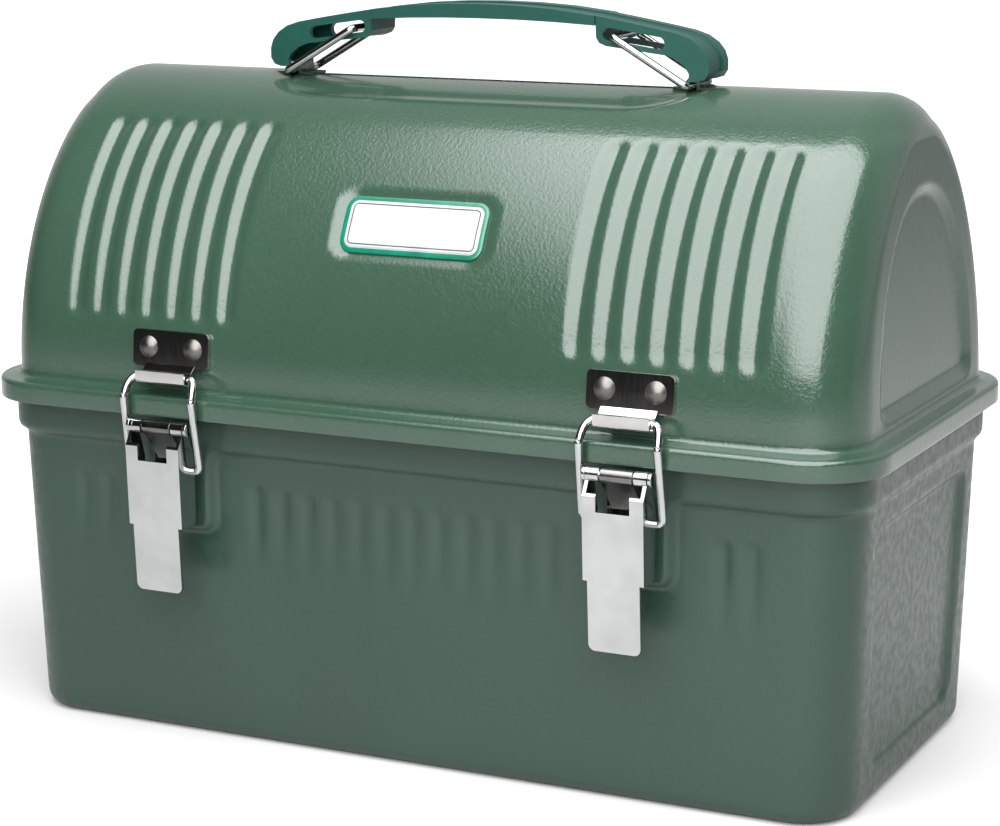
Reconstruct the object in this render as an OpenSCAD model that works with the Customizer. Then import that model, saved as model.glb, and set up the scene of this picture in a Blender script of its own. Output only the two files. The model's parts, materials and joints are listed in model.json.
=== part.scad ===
// Domed steel lunch box with two over-centre draw latches, rear hinges,
// a lift-up handle and a wire bottle retainer inside the lid.
// Millimetres. X runs along the length, -Y is the front, +Z is up.
// The origin is the centre of the flat bottom.

/* [Body] */
// Half of the tub's length at the height of the rim
tub_a = 163.6; // [161:0.1:164]
// Half of the tub's depth at the height of the rim
tub_b = 75.5; // [74.8:0.1:75.8]
// Height of the seam between tub and lid
seam_z = 120; // [120:1:120]
// Corner radius of the tub in plan
tub_r = 20; // [16:1:24]
// Sheet thickness of the pressings
sheet = 0.8; // [0.6:0.1:1]

/* [Lid] */
// Half of the lid's length at its rim
lid_a = 163.5; // [162:0.1:164]
// Half of the lid's depth at its rim
lid_b = 78.1; // [77.8:0.1:78.2]
// Height of the dome's flat handle seat
seat_z = 233.2; // [233.2:0.1:233.2]
// Half length over the rim bead
bead_a = 170; // [169:0.5:171]
// Half depth over the rim bead
bead_b = 85.8; // [85.6:0.1:85.8]

/* [Latches] */
// Distance of each latch from the middle
latch_x = 87.9; // [80:0.1:92]
// Width of a lever over its cheeks
lever_w = 21.7; // [21.5:0.1:22]
// Wire radius of the loops, bails and retainer
wire_r = 1.4; // [1.2:0.1:1.4]

/* [Handle] */
// Distance of each bail foot from the middle
foot_x = 78.5; // [78:0.1:79]
// Half distance between the legs of a bail
leg_y = 11; // [11:0.1:12]
// Half width of the grip between the bails
grip_w = 10.4; // [9.6:0.1:10.8]

/* [Hidden] */
$fn = 48;

// Lever pin, loop pivot and loop bar, as [y, z]
p1 = [-88.5, 116.5];
p2 = [-85, 101];
bar = [-84.4, 133.5];
// Hinge axis, as [y, z], and hinge distance from the middle
hinge = [88.9, 117];
hinge_x = 88;
// Bail foot height and bail bar position
foot_z = 235;
bar_x = 51;
bar_z = 251;
// Slot in each end of the grip: inner centre, length between centres, downward tilt and half height
slot_a = [48.8, 251.7];
slot_l = 18.9;
slot_tilt = 8;
slot_r = 2.2;
pin_r = 1.5;
run = 0.06;
// Dome profile: springing height and rise
spring_z = 132.16;
rise = 102.29;
power = 2 / 1.95;
dome_top = 234.4;
end_r = 15.5;
rim_r = 21;
// Retainer pivot, as [y, z], its reach to the front and its half width
ret = [72.6, 134];
ret_y = -71;
ret_x = 60;

// ---------- ring skins ----------
NC = 7;
// One closed plan outline: corner arcs with half axes rx and ry, and extra points along the long sides
function arc_pts(cx, cy, rx, ry, a0) = [for (i = [0:NC]) let (a = a0 + 90 * i / NC) [cx + rx * cos(a), cy + ry * sin(a)]];
function ring(a, b, rx, ry, z, xs = [], d = 0) = [for (p = concat(
    arc_pts(a - rx, b - ry, rx, ry, 0),
    [for (i = [len(xs) - 1:-1:0]) [xs[i][0], b + xs[i][1] * d]],
    arc_pts(-a + rx, b - ry, rx, ry, 90),
    arc_pts(-a + rx, -b + ry, rx, ry, 180),
    [for (i = [0:len(xs) - 1]) [xs[i][0], -b - xs[i][1] * d]],
    arc_pts(a - rx, -b + ry, rx, ry, 270))) [p[0], p[1], z]];
// A closed solid through a list of rings with equal point counts
module skin(rings) {
  n = len(rings[0]);
  m = len(rings);
  pts = [for (r = rings) each r];
  sides = [for (k = [0:m - 2], i = [0:n - 1]) let (j = (i + 1) % n)
    each [[k * n + i, (k + 1) * n + i, k * n + j], [k * n + j, (k + 1) * n + i, (k + 1) * n + j]]];
  polyhedron(points = pts, faces = concat([[for (i = [0:n - 1]) i]], sides, [[for (i = [n - 1:-1:0]) (m - 1) * n + i]]), convexity = 6);
}

// ---------- small tools ----------
module rod(p, q, r) {
  d = q - p;
  l = norm(d);
  translate(p) rotate([0, acos(d[2] / l), atan2(d[1], d[0])]) cylinder(h = l, r = r);
}
// Bent wire through a list of points
module wire(ps, r) {
  for (i = [0:len(ps) - 2]) rod(ps[i], ps[i + 1], r);
  for (i = [1:len(ps) - 2]) translate(ps[i]) sphere(r = r + 0.02);
}
function unit(v) = v / norm(v);
// Round wire swept through closely spaced points, as one skin
module swept(ps, r, n = 14) {
  m = len(ps);
  rings = [for (i = [0:m - 1]) let (
      t = unit((i == 0 ? [0, 0, 0] : unit(ps[i] - ps[i - 1])) + (i == m - 1 ? [0, 0, 0] : unit(ps[i + 1] - ps[i]))),
      b = unit(cross(t, [0, 1, 0])), c = cross(b, t))
    [for (k = [0:n - 1]) ps[i] + r * (cos(360 * k / n) * b + sin(360 * k / n) * c)]];
  skin(rings);
}
// Extrudes a [y, z] outline along X, centred on x
module along_x(x, w) { translate([x - w / 2, 0, 0]) rotate([90, 0, 90]) linear_extrude(w) children(); }
// Extrudes a [x, z] outline along Y, centred on y
module along_y(y, w) { translate([0, y + w / 2, 0]) rotate([90, 0, 0]) linear_extrude(w) children(); }
module x_cyl(x, w, yz, r) { translate([x - w / 2, yz[0], yz[1]]) rotate([0, 90, 0]) cylinder(h = w, r = r); }
// Domed rivet standing on z = 0, with a shank going down and a flat inner head
module rivet(r, h, shank_r, grip_l, tail_r = 0, tail_h = 0.7) {
  R = (r * r + h * h) / (2 * h);
  intersection() { translate([0, 0, h - R]) sphere(r = R); cylinder(h = h + 1, r = r + 1); }
  translate([0, 0, -grip_l]) cylinder(h = grip_l + 0.05, r = shank_r);
  translate([0, 0, -grip_l - tail_h]) cylinder(h = tail_h, r = tail_r > 0 ? tail_r : shank_r + 0.8);
}

// ---------- tub ----------
function ta(z) = tub_a - 3.9 * (1 - z / 120);
function tb(z) = tub_b - 2.2 * (1 - z / 120);
pad_xs = [[-103.4, 0], [-100.4, 1], [-75.4, 1], [-72.4, 0], [72.4, 0], [75.4, 1], [100.4, 1], [103.4, 0]];
pad_y = 78.25;
module tub_skin() {
  o = 5.5;
  function wall(z, r, s) = ring(ta(z) - s, tb(z) - s, r - s, r - s, z, pad_xs, 0);
  function pad(z, s) = ring(ta(z) - s, tb(z) - s, tub_r - s, tub_r - s, z, pad_xs, pad_y - tb(z));
  function band(z, a, b, r) = ring(a, b, r, r, z, pad_xs, 0);
  skin([
    ring(ta(0) - o, tb(0) - o, tub_r - o, tub_r - o, 0, pad_xs, 0),
    ring(ta(0) - 3.2, tb(0) - 3.2, tub_r - 3.2, tub_r - 3.2, 0.55, pad_xs, 0),
    ring(ta(0) - 1.2, tb(0) - 1.2, tub_r - 1.2, tub_r - 1.2, 2.1, pad_xs, 0),
    wall(o, tub_r, 0),
    wall(75.6, tub_r, 0),
    pad(79.4, 0),
    pad(104.8, 0),
    band(108.8, 165.2, pad_y, 20.5),
    band(119.2, 165.3, 78.3, 21),
    band(119.7, 164.8, 77.8, 20.5),
    band(119.7, 161.7, 76.3, 18.5),
    band(123.8, 161.7, 76.3, 18.5),
    band(123.8, 160.9, 75.5, 17.7),
    band(118.9, 160.9, 75.5, 17.7),
    band(118.5, 164.4, 77.2, 20.1),
    band(109.2, 164.3, 77.2, 19.7),
    pad(105, sheet),
    pad(79.2, sheet),
    wall(75.2, tub_r, sheet),
    wall(o, tub_r, sheet),
    ring(ta(0) - 1.9, tb(0) - 1.9, tub_r - 1.9, tub_r - 1.9, 2.7, pad_xs, 0),
    ring(ta(0) - 3.6, tb(0) - 3.6, tub_r - 3.6, tub_r - 3.6, 1.3, pad_xs, 0),
    ring(ta(0) - o, tb(0) - o, tub_r - o, tub_r - o, sheet, pad_xs, 0)]);
}
// Rivet places on the pads, as [x offset, z]
base_rivets = [[0, 88], [0, 98.6]];
hinge_low_rivets = [[-8, 93], [8, 93]];
module tub() {
  color([0.27, 0.42, 0.34]) difference() {
    tub_skin();
    for (s = [-1, 1]) {
      for (p = base_rivets) translate([s * latch_x + p[0], -70, p[1]]) rotate([90, 0, 0]) cylinder(h = 12, r = 2);
      for (p = hinge_low_rivets) translate([s * hinge_x + p[0], 70, p[1]]) rotate([-90, 0, 0]) cylinder(h = 12, r = 2);
    }
  }
}

// ---------- lid ----------
function db(t) = lid_b * pow(cos(t), power);
function dz(t) = spring_z + rise * pow(sin(t), power);
function ny(t) = let (c = cos(t) / lid_b, s = sin(t) / rise) c / sqrt(c * c + s * s);
function nz(t) = let (c = cos(t) / lid_b, s = sin(t) / rise) s / sqrt(c * c + s * s);
function end_in(z) = let (d = dome_top - z) d < end_r ? end_r - sqrt(end_r * end_r - (end_r - d) * (end_r - d)) : 0;
function la(z) = lid_a - 0.037 * (z - 125.6);
t_top = asin(pow((seat_z - spring_z) / rise, 1 / power));
ts = [for (k = [0:9]) t_top * (1 - k / 9)];
function dome_ring(t, s) = let (
    z0 = dz(t), z = z0 - s * nz(t), b = db(t) - s * ny(t),
    r = rim_r - (rim_r - end_r) * t / 90, e = end_in(z0),
    a = la(z0) - e - s, rx = r - e * r / end_r - (t > 70 ? 0 : s), ry = min(b - 0.4, r / max(ny(t), 0.1) - s))
  ring(a, b, max(rx, 4), ry, t == t_top ? seat_z - s : z);
module lid_skin() {
  function band(z, oa, ob, r) = ring(la(z) + oa, lid_b + ob, r, r, z);
  function rim(z, in, r) = ring(bead_a - in, bead_b - in, r, r, z);
  skin(concat(
    [for (t = ts) dome_ring(t, 0)],
    [band(130.4, 0, 0, 21), band(129.7, 0.7, 0.9, 21.6), band(129.2, 2.6, 3.2, 23.2), rim(128.5, 1.7, 25.6),
     rim(127.6, 0.5, 26.6), rim(126.4, 0, 27), rim(seam_z, 0, 27),
     rim(seam_z, 0.9, 26.1), rim(126.2, 0.9, 26.1), rim(127.2, 1.4, 25.6), rim(127.8, 2.4, 24.7),
     band(128.3, 2.4, 3, 22.8), band(128.8, -0.2, 0, 21), band(130.2, -sheet, -sheet, 20.2)],
    [for (k = [9:-1:0]) dome_ring(ts[k], sheet)]));
}
// Places local coordinates (x, outward up) on the lid's front or back wall at height z
function wall_t(z) = asin(pow((z - spring_z) / rise, 1 / power));
module on_wall(x, z, back = 0) {
  t = wall_t(z);
  f = back == 0 ? -1 : 1;
  translate([x, f * db(t), z]) rotate([f < 0 ? 90 - asin(nz(t)) : -90 + asin(nz(t)), 0, 0]) children();
}
strike_z = 143;
up_z = 143.5;
module lid_shell() {
  color([0.4, 0.53, 0.46]) difference() {
    lid_skin();
    for (s = [-1, 1]) {
      for (d = [-9.08, 9.08]) on_wall(s * latch_x + d, strike_z) translate([0, 0, -5]) cylinder(h = 8, r = 2);
      for (d = [-8, 8]) on_wall(s * hinge_x + d, up_z, 1) translate([0, 0, -5]) cylinder(h = 8, r = 2);
      for (d = [-5, 5]) translate([s * (foot_x + d), 0, seat_z - 4]) cylinder(h = 8, r = 1.3);
    }
  }
}

// ---------- name plate ----------
module name_plate() {
  t0 = 28.4; t1 = 40.6;
  function off(t, d) = [-(db(t) + d * ny(t)), dz(t) + d * nz(t)];
  color([0.86, 0.88, 0.84]) intersection() {
    along_x(0, 54.6) polygon(concat([for (i = [0:10]) off(t0 + (t1 - t0) * i / 10, 0.15)], [for (i = [10:-1:0]) off(t0 + (t1 - t0) * i / 10, 1.05)]));
    t = (t0 + t1) / 2;
    translate([0, -db(t), dz(t)]) rotate([90 - asin(nz(t)), 0, 0]) translate([0, 0, -6])
      linear_extrude(12) { square([48.6, 26], center = true); square([54.6, 14.8], center = true);
        for (i = [-1, 1], j = [-1, 1]) translate([i * 24.3, j * 7.4]) circle(r = 3); }
  }
}

// ---------- latches ----------
// Fixed plate on the tub with a centre knuckle
module latch_base(s) {
  x = s * latch_x;
  color([0.5, 0.5, 0.5]) difference() {
    union() {
      along_y(-79, 1.2) translate([x, 0]) polygon([[-8, 84], [8, 84], [8, 107], [-8, 107]]);
      along_x(x, 11.4) polygon([[-78.45, 103.4], [-78.4, 107], [-79.4, 107.4], [p1[0] + 1.2, p1[1] + 1.9], [p1[0] - 1.9, p1[1] - 1.2], [-80.4, 103.4]]);
      x_cyl(x, 11.4, p1, 2.5);
    }
    x_cyl(x, 30, p1, pin_r + run);
    for (p = base_rivets) translate([x + p[0], -70, p[1]]) rotate([90, 0, 0]) cylinder(h = 14, r = 2);
  }
}
module latch_base_left() { latch_base(-1); }
module latch_base_right() { latch_base(1); }
module latch_base_rivets() {
  color([0.7, 0.7, 0.7]) for (s = [-1, 1], p = base_rivets)
    translate([s * latch_x + p[0], -79.6, p[1]]) rotate([90, 0, 0]) rivet(3, 1.3, 2, 2.2);
}
module lever_pin(s) {
  color([0.75, 0.75, 0.75]) {
    x_cyl(s * latch_x, 22.4, p1, pin_r);
    for (k = [-1, 1]) x_cyl(s * latch_x + k * 11.65, 1.2, p1, 2.4);
  }
}
module lever_pin_left() { lever_pin(-1); }
module lever_pin_right() { lever_pin(1); }
// Lever: sloping front plate, two cheeks and a curled barrel on each side of the base's knuckle
lever_front = [[-93.4, 111], [-93.3, 108], [-92.3, 81.5], [-91, 57.6]];
module lever(s) {
  x = s * latch_x;
  w = lever_w;
  th = 1.2;
  color([0.78, 0.78, 0.78]) difference() {
    union() {
      along_x(x, w) polygon([[-93.4, 110.2], [-92.9, 111], [-92.2, 111], [-92.2, 108], [-91.1, 81.5], [-92.3, 81.5], [-93.3, 108]]);
      intersection() {
        along_x(x, w) polygon([[-92.34, 82.5], [-91.14, 82.5], [-89.8, 57.6], [-91, 57.6]]);
        along_y(-91, 8) translate([x, 0]) { polygon([[-9.3, 60], [9.3, 60], [9.3, 83], [-9.3, 83]]); polygon([[-6.9, 57.6], [6.9, 57.6], [6.9, 62], [-6.9, 62]]);
          for (k = [-1, 1]) translate([k * 6.9, 60]) circle(r = 2.4); }
      }
      for (k = [-1, 1]) {
        along_x(x + k * (w - th) / 2, th) { polygon([[-93, 110.6], [-92.6, 111.2], [-90.6, 114.8], [-86.4, 114.8], [-83, 104.5], [-83, 83], [-84.4, 81.5], [-92.1, 81.5]]);
          translate(p1) circle(r = 2.6); }
        x_cyl(x + k * (w / 4 + 3.15), w / 2 - 6.3, p1, 2.5);
      }
    }
    x_cyl(x, 40, p1, pin_r + run);
    x_cyl(x, 40, p2, wire_r + run);
    along_y(-91, 12) translate([x, 0]) polygon([[-6, 105], [6, 105], [6, 112], [-6, 112]]);
  }
}
module latch_lever_left() { lever(-1); }
module latch_lever_right() { lever(1); }
// Wire loop: inturned feet in the lever's cheeks, sides past the rim bead, and the bar in the strike's hook
loop_half = [[8.7, -85, 101], [12, -85, 101], [13.3, -85.02, 101.35], [14.1, -85.15, 102.3], [14.35, -85.35, 103.6], [14.15, -87, 113.9], [13.95, -88.8, 125.2],
  [13.88, -88.6, 127], [13.65, -87.7, 129.2], [13.25, -86.6, 131], [12.55, -85.5, 132.4], [11.6, -84.75, 133.2], [10.5, -84.4, 133.5]];
module loop(s) {
  x = s * latch_x;
  n = len(loop_half);
  color([0.8, 0.8, 0.8]) translate([x, 0, 0])
    swept(concat([for (i = [0:n - 1]) [-loop_half[i][0], loop_half[i][1], loop_half[i][2]]], [for (i = [n - 1:-1:0]) loop_half[i]]), wire_r);
}
module latch_loop_left() { loop(-1); }
module latch_loop_right() { loop(1); }
// Strike: riveted plate with an upturned hook below it
module strike(s) {
  x = s * latch_x;
  t = wall_t(strike_z);
  g = bar;
  color([0.45, 0.46, 0.47]) difference() {
    union() {
      on_wall(x, strike_z) translate([0, 0, 0.1]) linear_extrude(1.6) { square([31, 8], center = true); square([27, 12], center = true);
        for (i = [-1, 1], j = [-1, 1]) translate([i * 13.5, j * 4]) circle(r = 2); }
      along_x(x, 20) difference() {
        union() {
          polygon([[-78.5, 139.5], [-79.9, 139.5], [-81.2, 136.2], [g[0] + 2, g[1] + 1.5], [g[0] + 2.7, g[1]], [g[0] + 1.9, g[1]], [g[0] + 1.9, g[1] - 0.3], [-82.2, g[1]], [-80.6, 136.1], [-78.7, 137.5]]);
          circle_at(g, 2.7);
          polygon([[g[0] - 2.7, g[1]], [g[0] - 1.9, g[1]], [g[0] - 1.9, g[1] + 2.4], [g[0] - 2.7, g[1] + 2.4]]);
        }
        circle_at(g, 1.9);
        polygon([[g[0] - 1.9, g[1]], [g[0] + 1.9, g[1]], [g[0] + 1.9, g[1] + 1.2], [g[0] + 1.2, g[1] + 5], [g[0] - 1.9, g[1] + 5]]);
      }
    }
    for (d = [-9.08, 9.08]) on_wall(x + d, strike_z) translate([0, 0, -3]) cylinder(h = 8, r = 2);
  }
}
module circle_at(p, r) { translate(p) circle(r = r); }
module strike_left() { strike(-1); }
module strike_right() { strike(1); }
module strike_rivets() {
  color([0.75, 0.75, 0.75]) for (s = [-1, 1], d = [-9.08, 9.08])
    on_wall(s * latch_x + d, strike_z) translate([0, 0, 1.7]) rivet(3.9, 1.9, 2, 2.85);
}

// ---------- hinges ----------
module hinge_lower(s) {
  x = s * hinge_x;
  color([0.5, 0.5, 0.5]) difference() {
    union() {
      along_y(79, 1.2) translate([x, 0]) polygon([[-13, 84], [13, 84], [13, 106], [-13, 106]]);
      along_x(x, 12) polygon([[78.45, 102.4], [78.4, 106], [79.4, 106.6], [hinge[0] - 1.4, hinge[1] + 2], [hinge[0] + 2, hinge[1] - 1.4], [80.6, 102.4]]);
      x_cyl(x, 12, hinge, 2.8);
    }
    x_cyl(x, 30, hinge, pin_r + run);
    for (p = hinge_low_rivets) translate([x + p[0], 70, p[1]]) rotate([-90, 0, 0]) cylinder(h = 14, r = 2);
  }
}
module hinge_lower_left() { hinge_lower(-1); }
module hinge_lower_right() { hinge_lower(1); }
module hinge_lower_rivets() {
  color([0.7, 0.7, 0.7]) for (s = [-1, 1], p = hinge_low_rivets)
    translate([s * hinge_x + p[0], 79.6, p[1]]) rotate([-90, 0, 0]) rivet(3, 1.3, 2, 2.2);
}
module hinge_upper(s) {
  x = s * hinge_x;
  color([0.5, 0.5, 0.5]) difference() {
    union() {
      on_wall(x, up_z, 1) translate([0, 0, 0.1]) linear_extrude(1.2) square([26, 14], center = true);
      for (k = [-1, 1]) {
        along_x(x + k * 9.65, 6.7) polygon([[78.4, 137.6], [79.6, 137.6], [79.8, 136.8], [88.4, 132], [89.4, 130.4], [hinge[0] + 2.6, hinge[1] + 0.6], [hinge[0] - 1.3, hinge[1] + 1.3], [88.2, 129.8], [87.6, 131], [78.9, 135.8]]);
        x_cyl(x + k * 9.65, 6.7, hinge, 2.8);
      }
    }
    x_cyl(x, 40, hinge, pin_r + run);
    for (d = [-8, 8]) on_wall(x + d, up_z, 1) translate([0, 0, -3]) cylinder(h = 8, r = 2);
  }
}
module hinge_upper_left() { hinge_upper(-1); }
module hinge_upper_right() { hinge_upper(1); }
module hinge_upper_rivets() {
  color([0.7, 0.7, 0.7]) for (s = [-1, 1], d = [-8, 8])
    on_wall(s * hinge_x + d, up_z, 1) translate([0, 0, 1.3]) rivet(3, 1.3, 2, 2.45);
}
module hinge_pin(s) {
  color([0.7, 0.7, 0.7]) {
    x_cyl(s * hinge_x, 27, hinge, pin_r);
    for (k = [-1, 1]) x_cyl(s * hinge_x + k * 14, 1.4, hinge, 2.4);
  }
}
module hinge_pin_left() { hinge_pin(-1); }
module hinge_pin_right() { hinge_pin(1); }

// ---------- handle ----------
// Grip outline on the +X side, as [x, z]
grip_top = [[0, 261], [14, 260.75], [28, 259.9], [42, 258.3], [55, 256.2], [66, 254.3], [74, 252.8], [79, 251.2], [82.6, 248.9], [85, 246], [86, 243]];
grip_end = [[86, 239.4], [84.6, 237.2], [82, 236.4], [78.6, 236.4]];
grip_under = [[78.8, 239], [77.4, 241.2], [74.6, 243.4], [71, 245], [48, 247.6], [45.4, 248.6], [44.2, 250.4], [44, 254.6]];
module grip_outline() {
  half = concat(grip_top, grip_end, grip_under, [[28, 255.4], [14, 255.8], [0, 255.9]]);
  polygon(half);
  mirror([1, 0]) polygon(half);
}
// Shallow channel along the top of the grip and down its ends, between two raised lips
channel_w = 9.6;
function edge_n(ps, i) = let (a = ps[max(i - 1, 0)], b = ps[min(i + 1, len(ps) - 1)], d = (b - a) / norm(b - a)) i == 0 ? [0, 1] : [-d[1], d[0]];
module grip_channel() {
  ps = concat(grip_top, [[86, 239.4]]);
  band = concat([for (i = [0:len(ps) - 1]) ps[i] + 2 * edge_n(ps, i)], [for (i = [len(ps) - 1:-1:0]) ps[i] - 0.8 * edge_n(ps, i)]);
  polygon(band);
  mirror([1, 0]) polygon(band);
}
module handle_grip() {
  // The hollow between the two side walls of each end
  hollow = [[46.5, 240], [46.5, 254.4], [55, 253.6], [66, 251.8], [74, 250.3], [78, 249], [81, 247], [83.2, 244], [83.9, 242], [83.9, 230], [60, 230]];
  color([0.1, 0.38, 0.33]) difference() {
    union() {
      intersection() { along_y(0, 2 * grip_w) grip_outline(); translate([-44, -20, 240]) cube([88, 40, 30]); }
      along_y(0, 18.4) grip_outline();
    }
    along_y(0, channel_w) grip_channel();
    for (k = [0, 1]) mirror([k, 0, 0]) {
      along_y(0, 13.6) polygon(hollow);
      along_y(0, 30) translate(slot_a) rotate(-slot_tilt) { translate([0, -slot_r]) square([slot_l, 2 * slot_r]);
        circle(r = slot_r); translate([slot_l, 0]) circle(r = slot_r); }
    }
  }
}
module bail(s) {
  x = s * foot_x;
  b = s * bar_x;
  color([0.8, 0.8, 0.8]) {
    wire([[x, -leg_y, foot_z], [b, -leg_y, bar_z], [b, leg_y, bar_z], [x, leg_y, foot_z], [x, -leg_y, foot_z]], wire_r);
    translate([x, -leg_y, foot_z]) sphere(r = wire_r + 0.02);
  }
}
module handle_bail_left() { bail(-1); }
module handle_bail_right() { bail(1); }
module handle_bracket(s) {
  x = s * foot_x;
  color([0.3, 0.42, 0.36]) difference() {
    along_y(0, 10) union() {
      polygon([[x - 7.4, seat_z], [x + 7.4, seat_z], [x + 7.4, seat_z + 1], [x - 7.4, seat_z + 1]]);
      intersection() { circle_at([x, foot_z], 2.7); polygon([[x - 4, seat_z], [x + 4, seat_z], [x + 4, 240], [x - 4, 240]]); }
    }
    translate([x, 0, foot_z]) rotate([90, 0, 0]) cylinder(h = 20, r = wire_r + 0.1, center = true);
    translate([x - wire_r - 0.1, -10, foot_z - 4]) cube([2 * wire_r + 0.2, 20, 4]);
    for (d = [-5, 5]) translate([x + d, 0, seat_z - 4]) cylinder(h = 8, r = 1.3);
  }
}
module handle_bracket_left() { handle_bracket(-1); }
module handle_bracket_right() { handle_bracket(1); }
module handle_bracket_rivets() {
  color([0.3, 0.42, 0.36]) for (s = [-1, 1], d = [-5, 5]) translate([s * foot_x + d, 0, seat_z + 1]) rivet(2.1, 0.9, 1.3, 1.9);
}

// ---------- bottle retainer inside the lid ----------
module bottle_retainer() {
  r = 1.6;
  color([0.75, 0.75, 0.75]) wire([[-ret_x + 7, ret[0], ret[1]], [-ret_x, ret[0], ret[1]], [-ret_x, ret_y + 6, ret[1]], [-ret_x + 6, ret_y, ret[1]],
    [ret_x - 6, ret_y, ret[1]], [ret_x, ret_y + 6, ret[1]], [ret_x, ret[0], ret[1]], [ret_x - 7, ret[0], ret[1]]], r);
}
// Pivot lugs spot-welded to the back wall, just inside the wire's inward ends
module retainer_bracket(s) {
  x = s * (ret_x - 4.6);
  color([0.6, 0.6, 0.6]) difference() {
    union() {
      along_x(x, 4) { circle_at(ret, 3); polygon([[ret[0] - 3, ret[1]], [ret[0] + 3, ret[1]], [75.9, 141], [75.3, 147], [74.6, 147], [ret[0] - 1, 140]]); }
      along_x(x - s * 5, 14) polygon([[76.7, 137.4], [75.7, 137.4], [74.9, 147.2], [75.9, 147.2]]);
    }
    x_cyl(x, 30, ret, 1.6 + run);
  }
}
module retainer_bracket_left() { retainer_bracket(-1); }
module retainer_bracket_right() { retainer_bracket(1); }
// Snap clip on the front wall, open downward, that holds the retainer's front bar
module retainer_catch() {
  color([0.6, 0.6, 0.6]) along_x(0, 16) polygon([[-76.7, 137.4], [-75.9, 147.2], [-74.9, 147.2], [-75.7, 137.2], [-69.2, 137.2], [-68.3, 136.4], [-68.1, 134], [-67.4, 131.8], [-68.2, 131.6], [-68.9, 134], [-69.2, 136], [-73.6, 136.2], [-74, 134], [-74.6, 131.6], [-75.4, 131.8], [-74.8, 134], [-74.6, 136.3], [-76.2, 136.6]]);
}

tub();
latch_base_left();
latch_base_right();
latch_base_rivets();
lever_pin_left();
lever_pin_right();
hinge_lower_left();
hinge_lower_right();
hinge_lower_rivets();
hinge_pin_left();
hinge_pin_right();
lid_shell();
name_plate();
strike_left();
strike_right();
strike_rivets();
handle_bracket_left();
handle_bracket_right();
handle_bracket_rivets();
hinge_upper_left();
hinge_upper_right();
hinge_upper_rivets();
retainer_bracket_left();
retainer_bracket_right();
retainer_catch();
bottle_retainer();
latch_lever_left();
latch_lever_right();
latch_loop_left();
latch_loop_right();
handle_grip();
handle_bail_left();
handle_bail_right();
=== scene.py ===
import json
import math
import bmesh
import bpy
import numpy as np
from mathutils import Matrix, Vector

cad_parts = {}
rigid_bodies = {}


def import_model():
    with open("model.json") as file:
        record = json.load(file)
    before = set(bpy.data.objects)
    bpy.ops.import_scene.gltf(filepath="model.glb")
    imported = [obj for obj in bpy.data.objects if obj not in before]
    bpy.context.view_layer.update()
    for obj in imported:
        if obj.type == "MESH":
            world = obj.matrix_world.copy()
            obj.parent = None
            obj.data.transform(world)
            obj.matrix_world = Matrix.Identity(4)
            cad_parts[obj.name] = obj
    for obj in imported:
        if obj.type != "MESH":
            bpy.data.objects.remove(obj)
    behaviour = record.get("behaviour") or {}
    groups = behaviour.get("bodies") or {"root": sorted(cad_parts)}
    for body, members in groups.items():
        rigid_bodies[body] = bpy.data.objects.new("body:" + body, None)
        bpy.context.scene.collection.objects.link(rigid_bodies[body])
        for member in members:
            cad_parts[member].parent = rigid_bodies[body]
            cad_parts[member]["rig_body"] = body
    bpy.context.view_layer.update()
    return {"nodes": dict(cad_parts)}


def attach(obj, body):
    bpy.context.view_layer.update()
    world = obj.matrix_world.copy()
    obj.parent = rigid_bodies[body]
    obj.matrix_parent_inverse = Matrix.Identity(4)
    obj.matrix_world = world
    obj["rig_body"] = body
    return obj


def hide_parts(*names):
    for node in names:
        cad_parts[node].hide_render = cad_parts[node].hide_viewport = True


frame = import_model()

MM = 0.001
nodes = frame["nodes"]
rad = math.radians

# ------------------------------------------------------------------ materials


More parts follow.
